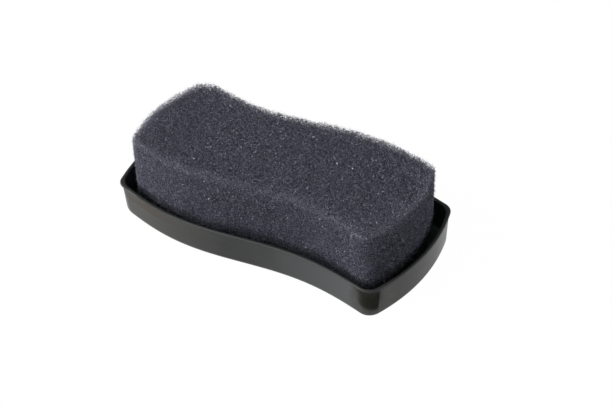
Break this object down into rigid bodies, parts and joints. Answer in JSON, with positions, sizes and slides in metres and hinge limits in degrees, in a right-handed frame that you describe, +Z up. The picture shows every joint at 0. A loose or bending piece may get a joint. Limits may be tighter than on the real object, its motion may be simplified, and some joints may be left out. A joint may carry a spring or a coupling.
{
  "type": "shoe shine sponge",
  "caption": "Wave-shaped shoe shine sponge: a block of dark open-cell foam standing up out of a thin black moulded tray that serves as its grip and rest.",
  "frame": {"origin": "on the surface the tray stands on, under the middle of the tray", "axes": "+X along the sponge's length, +Y across it, +Z up out of the tray to the polishing face"},
  "size_m": [0.132, 0.0694, 0.034],
  "materials": {
    "tray_plastic": "black moulded polystyrene, glossy",
    "polishing_foam": "dark grey-violet open-cell polyurethane foam, matt",
    "polish_felt": "off-white pressed felt",
    "plate_plastic": "black moulded polypropylene, satin",
    "adhesive": "hot-melt adhesive, amber, cloudy"
  },
  "bodies": {
    "root": {"base_tray": "tray_plastic", "sponge_block": "polishing_foam", "reservoir_pad": "polish_felt", "diffuser_plate": "plate_plastic", "foam_bond": "adhesive"}
  },
  "joints": []
}
